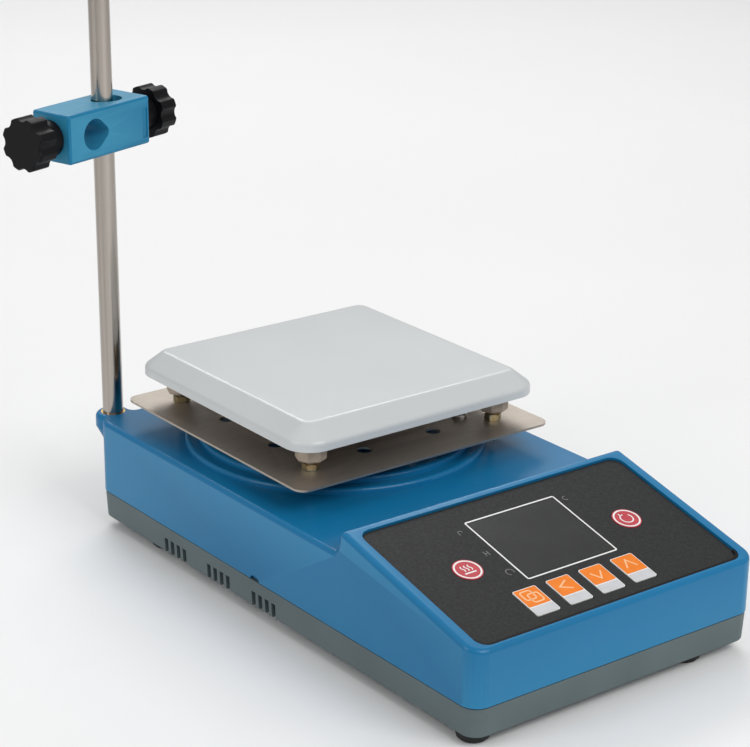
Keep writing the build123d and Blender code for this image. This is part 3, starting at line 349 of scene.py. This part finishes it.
def ribbon(bm, path, width, closed, w0, w1):
    """Raised line of even width along a path of (u, v) points on the panel."""
    sharpest = 0.4
    count = len(path)
    sides = []
    for i, (u, v) in enumerate(path):
        before = path[i - 1] if closed or i else path[i]
        after = path[(i + 1) % count] if closed or i < count - 1 else path[i]
        back = Vector((u - before[0], v - before[1]))
        ahead = Vector((after[0] - u, after[1] - v))
        if back.length == 0:
            back = ahead
        if ahead.length == 0:
            ahead = back
        back.normalize()
        ahead.normalize()
        middle = back + ahead
        middle.normalize()
        across = Vector((-middle.y, middle.x)) * (width / 2) / max(sharpest, middle.dot(ahead))
        sides.append(((u + across.x, v + across.y), (u - across.x, v - across.y)))
    rings = []
    for a, b in sides:
        section = ((a, w0), (b, w0), (b, w1), (a, w1))
        rings.append([bm.verts.new(on_panel(*point, w)) for point, w in section])
    for i in range(count if closed else count - 1):
        join_rings(bm, rings[i], rings[(i + 1) % count])
    if not closed:
        bm.faces.new(rings[0])
        bm.faces.new(rings[-1])


def rounded(u, v, width, height, radius, steps=6):
    """Outline of a rounded rectangle, anticlockwise from its right side: upper half first."""
    points = []
    for cx, cy, start in ((1, 1, 0), (-1, 1, 90), (-1, -1, 180), (1, -1, 270)):
        corner_u = u + cx * (width / 2 - radius)
        corner_v = v + cy * (height / 2 - radius)
        points += arc(corner_u, corner_v, radius, start, start + 90, steps)
    return points


def arc(u, v, radius, start, end, steps):
    """Points along a circle, between two angles in degrees."""
    angles = [math.radians(start + (end - start) * i / steps) for i in range(steps + 1)]
    return [(u + radius * math.cos(a), v + radius * math.sin(a)) for a in angles]


def pad(bm, outline, w0, w1):
    """Solid plate with the given outline on the panel."""
    top = [bm.verts.new(on_panel(u, v, w1)) for u, v in outline]
    bottom = [bm.verts.new(on_panel(u, v, w0)) for u, v in outline]
    bm.faces.new(top)
    bm.faces.new(reversed(bottom))
    join_rings(bm, bottom, top)


# ---------------------------------------------------------------- prints on the panel
PRINT = 0.05


def stroke(bm, path, width, level, closed=False):
    """Printed line on a surface at a level of the panel."""
    ribbon(bm, path, width, closed, level, level + PRINT)


WINDOW_PLACE = (0.0, 8.2)
WINDOW_FRAME = (50.4, 43.6, 0.8)
WINDOW_LINE = 0.75
bm = bmesh.new()
stroke(bm, rounded(*WINDOW_PLACE, *WINDOW_FRAME), WINDOW_LINE, OVERLAY_TOP, closed=True)
piece("window_outline", bm, WHITE, "housing")

# Faint marks beside the window: a gauge, a step and a hook on the left, an arc on the right.
MARK_LINE = 0.45
FINE_MARK_LINE = 0.4
GAUGE = arc(-29.4, -6.4, 1.9, -30, 250, 20)
STEP = ([(-31.2, 6.9), (-31.2, 9.9)], [(-31.2, 8.4), (-29.4, 8.4)], [(-29.4, 6.9), (-29.4, 9.9)])
HOOK = arc(-31.4, 25.2, 1.1, 0, 180, 10) + [(-32.5, 23.6)]
SMALL_ARC = arc(29.8, 26.6, 1.3, 60, 300, 14)
bm = bmesh.new()
for path in (GAUGE, *STEP):
    stroke(bm, path, MARK_LINE, OVERLAY_TOP)
for path in (HOOK, SMALL_ARC):
    stroke(bm, path, FINE_MARK_LINE, OVERLAY_TOP)
piece("panel_marks", bm, FAINT, "housing")

# Black strip along the lower edge of the panel, between the overlay and the rim: painted shade standing in
# for the shadow in the gap there.
SHADE_STRIP_INSET = 0.7
SHADE_STRIP_WIDTH = 1.3
SHADE_STRIP_HEIGHT = 0.85
inside = [size - 2 * SHADE_STRIP_INSET for size in PANEL_SIZE]
outline = rounded(0, 0, *inside, PANEL_RADIUS - SHADE_STRIP_INSET)
lower_half = outline[len(outline) // 2 :]
bm = bmesh.new()
ribbon(bm, lower_half, SHADE_STRIP_WIDTH, False, OVERLAY_TOP, OVERLAY_TOP + SHADE_STRIP_HEIGHT)
piece("panel_painted_shade", bm, BLACK, "housing")

# ---------------------------------------------------------------- keys
KEY_TOP = -0.8
KEY_PITCH = 18.3
KEY_ROW = (-32.1, -26.9)
PAD_TOP = KEY_TOP + 0.12
PAD_BEVEL = 0.04 * MM
SYMBOL_V = 2.75
SYMBOL_LINE = 0.75
SQUARE = (5.6, 5.6, 1.2, 4)
CHEVRON = 2.9
SYMBOLS = {
    "key_select": [(rounded(-1.2, 1.2, *SQUARE), True), (rounded(1.2, -1.0, *SQUARE), True)],
    "key_left": [([(CHEVRON * 0.8, CHEVRON), (-CHEVRON, 0), (CHEVRON * 0.8, -CHEVRON)], False)],
    "key_down": [([(-CHEVRON, CHEVRON * 0.6), (0, -CHEVRON), (CHEVRON, CHEVRON * 0.6)], False)],
    "key_up": [([(-CHEVRON, -CHEVRON * 0.8), (0, CHEVRON), (CHEVRON, -CHEVRON * 0.8)], False)],
}
# Each key's printed fields: finish, place up the key, width, height and corner radius.
FIELDS = {
    "orange": (ORANGE, SYMBOL_V, 11.7, 11.1, 0.5),
    "strip": (STRIP, -5.9, 11.7, 4.9, 0.4),
}
for i, (name, lines) in enumerate(SYMBOLS.items()):
    u, v = KEY_ROW[0] + i * KEY_PITCH, KEY_ROW[1]
    for field, (finish, place, *shape) in FIELDS.items():
        bm = bmesh.new()
        pad(bm, rounded(u, v + place, *shape, steps=4), KEY_TOP, PAD_TOP)
        piece(f"{name}_{field}", bm, finish, name, PAD_BEVEL)
    bm = bmesh.new()
    for line, closed in lines:
        stroke(bm, [(u + x, v + SYMBOL_V + y) for x, y in line], SYMBOL_LINE, PAD_TOP, closed)
    piece(name + "_symbol", bm, PALE_ORANGE, name)

# ---------------------------------------------------------------- round buttons
BUTTON_PLACE = (45.4, 2.5)
RING_RADIUS = 5.9
RING_STEPS = 48
RING_LINE = 0.8
WAVE_PITCH = 1.9
WAVE_LINE = 0.55
TURN_RADIUS = 3.0
TURN_START = 120
TURN_LINE = 0.6


def heat_waves(bm, u, v):
    """Three wavy lines that rise from a bar."""
    for x in (-WAVE_PITCH, 0.0, WAVE_PITCH):
        wave = [(u + x + 0.5 * math.sin(t * 1.05), v - 0.9 + t * 0.62) for t in range(7)]
        stroke(bm, wave, WAVE_LINE, KEY_TOP)
    stroke(bm, [(u - 3.0, v - 2.2), (u + 3.0, v - 2.2)], RING_LINE, KEY_TOP)


def turning_arrow(bm, u, v):
    """Open circle with an arrowhead at its start."""
    turn = arc(u, v, TURN_RADIUS, TURN_START, TURN_START + 280, 26)
    stroke(bm, turn, TURN_LINE, KEY_TOP)
    tip = turn[0]
    stroke(bm, [(tip[0] - 0.2, tip[1] + 1.5), tip, (tip[0] + 1.5, tip[1] + 0.3)], WAVE_LINE, KEY_TOP)


for name, side, symbol in (("button_heat", -1, heat_waves), ("button_stir", 1, turning_arrow)):
    u, v = BUTTON_PLACE[0] * side, BUTTON_PLACE[1]
    bm = bmesh.new()
    ring = arc(u, v, RING_RADIUS, 0, 360, RING_STEPS)[:-1]
    stroke(bm, ring, RING_LINE, KEY_TOP, closed=True)
    symbol(bm, u, v)
    piece(name + "_ring", bm, WHITE, name)


# ---------------------------------------------------------------- threads and nuts
# Depth of a metric thread in pitches, a little shallow because the roots are rounded.
THREAD_DEPTH = 0.488
ROWS_PER_PITCH = 8
NUT_CHAMFER = math.radians(30)
CHAMFER_CIRCLE = 0.97


def thread(bm, origin, along, length, radius, pitch, sides=24):
    """Closed threaded rod: the radius follows the screw's height within each pitch."""
    along = along.normalized()
    across = along.orthogonal().normalized()
    third = along.cross(across)
    depth = THREAD_DEPTH * pitch
    rows = int(length / pitch * ROWS_PER_PITCH)
    rings = []
    for row in range(rows + 1):
        z = length * row / rows
        end = min(z, length - z)
        ring = []
        for k in range(sides):
            a = 2 * math.pi * k / sides
            phase = (z / pitch - k / sides) % 1.0
            r = min(radius - depth * (1 - abs(2 * phase - 1)), radius - depth + end)
            ring.append(bm.verts.new(origin + along * z + (across * math.cos(a) + third * math.sin(a)) * r))
        rings.append(ring)
    for one, two in zip(rings, rings[1:]):
        join_rings(bm, one, two)
    bm.faces.new(reversed(rings[0]))
    bm.faces.new(rings[-1])


def nut(bm, x, y, z, height, flat, hole, sides=48):
    """Hexagon nut with its corners chamfered top and bottom."""
    circle = flat / 2 * CHAMFER_CIRCLE
    # Radius and height of each ring round the section, from the bore below to the bore above.
    rings = [[] for _ in range(6)]
    for k in range(sides):
        a = 2 * math.pi * k / sides
        hexagon = flat / 2 / math.cos((a + math.pi / 6) % (math.pi / 3) - math.pi / 6)
        drop = (hexagon - circle) * math.tan(NUT_CHAMFER)
        section = (
            (hole, 0),
            (circle, 0),
            (hexagon, drop),
            (hexagon, height - drop),
            (circle, height),
            (hole, height),
        )
        for ring, (r, h) in zip(rings, section):
            ring.append(bm.verts.new((x + r * math.cos(a), y + r * math.sin(a), z + h)))
    for one, two in zip(rings, rings[1:] + rings[:1]):
        join_rings(bm, one, two)


STUD_RADIUS = 2 * MM
STUD_PITCH = 0.7 * MM
stud_low, stud_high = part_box("plate_studs")
corner = stud_high.x - STUD_RADIUS
CORNERS = [(x, y) for x in (-corner, corner) for y in (-corner, corner)]
stud_length = stud_high.z - stud_low.z
bm = bmesh.new()
for x, y in CORNERS:
    thread(bm, Vector((x, y, stud_low.z)), Vector((0, 0, 1)), stud_length, STUD_RADIUS, STUD_PITCH)
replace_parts(piece("threaded_studs", bm, STEEL, "housing"), "plate_studs")

# Two nuts clamp the shield in each corner, and one under each arm holds the motor's bracket.
NUT_FLAT = 7.0 * MM
NUT_HEIGHT = 3.2 * MM
BRACKET_SPREAD = 57 * MM
shield_low, shield_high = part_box("heat_shield")
bracket_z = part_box("motor_bracket")[0].z
ends = (-BRACKET_SPREAD, BRACKET_SPREAD)
arms = [(0, y) for y in ends] + [(x, 0) for x in ends]
nut_places = [(x, y, z) for x, y in CORNERS for z in (shield_low.z - NUT_HEIGHT, shield_high.z)]
nut_places += [(x, y, bracket_z - NUT_HEIGHT) for x, y in arms]
bm = bmesh.new()
for place in nut_places:
    nut(bm, *place, NUT_HEIGHT, NUT_FLAT, STUD_RADIUS)
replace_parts(piece("chamfered_nuts", bm, ZINC, "housing"), "hex_nuts")

# The clamp's studs lie level, so the box of a round bar gives its length along the slant.
CLAMP_STUD_RADIUS = 3 * MM
CLAMP_STUD_PITCH = 1.0 * MM
for side in ("left", "right"):
    along = joint_axis(f"stud_{side}_slide")
    low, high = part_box(f"clamp_stud_{side}")
    span = (high.x - low.x - 2 * CLAMP_STUD_RADIUS * abs(along.y)) / abs(along.x)
    start = (low + high) / 2 - along * span / 2
    bm = bmesh.new()
    thread(bm, start, along, span, CLAMP_STUD_RADIUS, CLAMP_STUD_PITCH, sides=32)
    stud = piece(f"threaded_clamp_stud_{side}", bm, STEEL, f"stud_{side}")
    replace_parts(stud, f"clamp_stud_{side}")

# ---------------------------------------------------------------- floor
FLOOR_HALF = 6.0
bm = bmesh.new()
bmesh.ops.create_grid(bm, x_segments=4, y_segments=4, size=FLOOR_HALF)
floor_mesh = bpy.data.meshes.new("floor")
bm.to_mesh(floor_mesh)
bm.free()
floor = bpy.data.objects.new("floor", floor_mesh)
bpy.context.scene.collection.objects.link(floor)
floor_mesh.materials.append(
    material("pale_floor", (0.86, 0.86, 0.86), 0.6, mottle=0.01, mottle_scale=3, bump=0.05, bump_scale=60)
)

# ---------------------------------------------------------------- light
# Grey of the studio by height, from straight down to straight up.
SKY = ((0.0, 0.55), (0.12, 0.42), (0.45, 0.8), (1.0, 1.0))
SKY_STRENGTH = 0.62
world = bpy.data.worlds.new("studio")
bpy.context.scene.world = world
world.use_nodes = True
sky_nodes = world.node_tree.nodes
sky_link = world.node_tree.links.new
background = sky_nodes["Background"]
background.inputs["Strength"].default_value = SKY_STRENGTH
sky_where = sky_nodes.new("ShaderNodeTexCoord")
sky_split = sky_nodes.new("ShaderNodeSeparateXYZ")
sky_ramp = sky_nodes.new("ShaderNodeValToRGB")
sky_link(sky_where.outputs["Generated"], sky_split.inputs["Vector"])
sky_link(sky_split.outputs["Z"], sky_ramp.inputs["Fac"])
sky_link(sky_ramp.outputs["Color"], background.inputs["Color"])
ramp = sky_ramp.color_ramp
while len(ramp.elements) < len(SKY):
    ramp.elements.new(0.5)
for element, (place, grey) in zip(ramp.elements, SKY):
    element.position = place
    element.color = (grey, grey, grey, 1.0)


AIM = Vector((0, -0.05, 0.08))


def softbox(name, where, size, power):
    """Rectangular area light, in metres and watts, aimed at the middle of the object."""
    light = bpy.data.lights.new(name, "AREA")
    light.shape = "RECTANGLE"
    light.size, light.size_y = size
    light.energy = power
    obj = bpy.data.objects.new(name, light)
    bpy.context.scene.collection.objects.link(obj)
    obj.location = where
    obj.rotation_mode = "QUATERNION"
    obj.rotation_quaternion = (AIM - Vector(where)).to_track_quat("-Z", "Y")


softbox("key_light", (0.2, -1.4, 1.3), (1.1, 0.8), 15)
softbox("side_light", (-1.5, 0.1, 0.9), (0.5, 1.1), 6)
softbox("back_light", (0.7, 1.3, 1.3), (1.4, 0.6), 12)
bpy.context.scene.view_settings.view_transform = "Standard"

# ---------------------------------------------------------------- camera
SENSOR = 36.0
LENS = 108.0912
SHIFT = (0.005, 0.102)
CLIP = (0.05, 30.0)
CAMERA_PLACE = (-0.5979, -0.8070, 0.4522)
CAMERA_FORWARD = (0.5649, 0.7359, -0.3732)
CAMERA_RIGHT = (0.7955, -0.6058, 0.0094)
camera_data = bpy.data.cameras.new("camera")
camera = bpy.data.objects.new("camera", camera_data)
bpy.context.scene.collection.objects.link(camera)
bpy.context.scene.camera = camera
camera_data.sensor_width = SENSOR
camera_data.lens = LENS
camera_data.shift_x, camera_data.shift_y = SHIFT
camera_data.clip_start, camera_data.clip_end = CLIP
forward = Vector(CAMERA_FORWARD).normalized()
right = Vector(CAMERA_RIGHT)
right = (right - forward * right.dot(forward)).normalized()
up = right.cross(forward)
turn = Matrix((right, up, -forward)).transposed()
camera.matrix_world = Matrix.Translation(CAMERA_PLACE) @ turn.to_4x4()
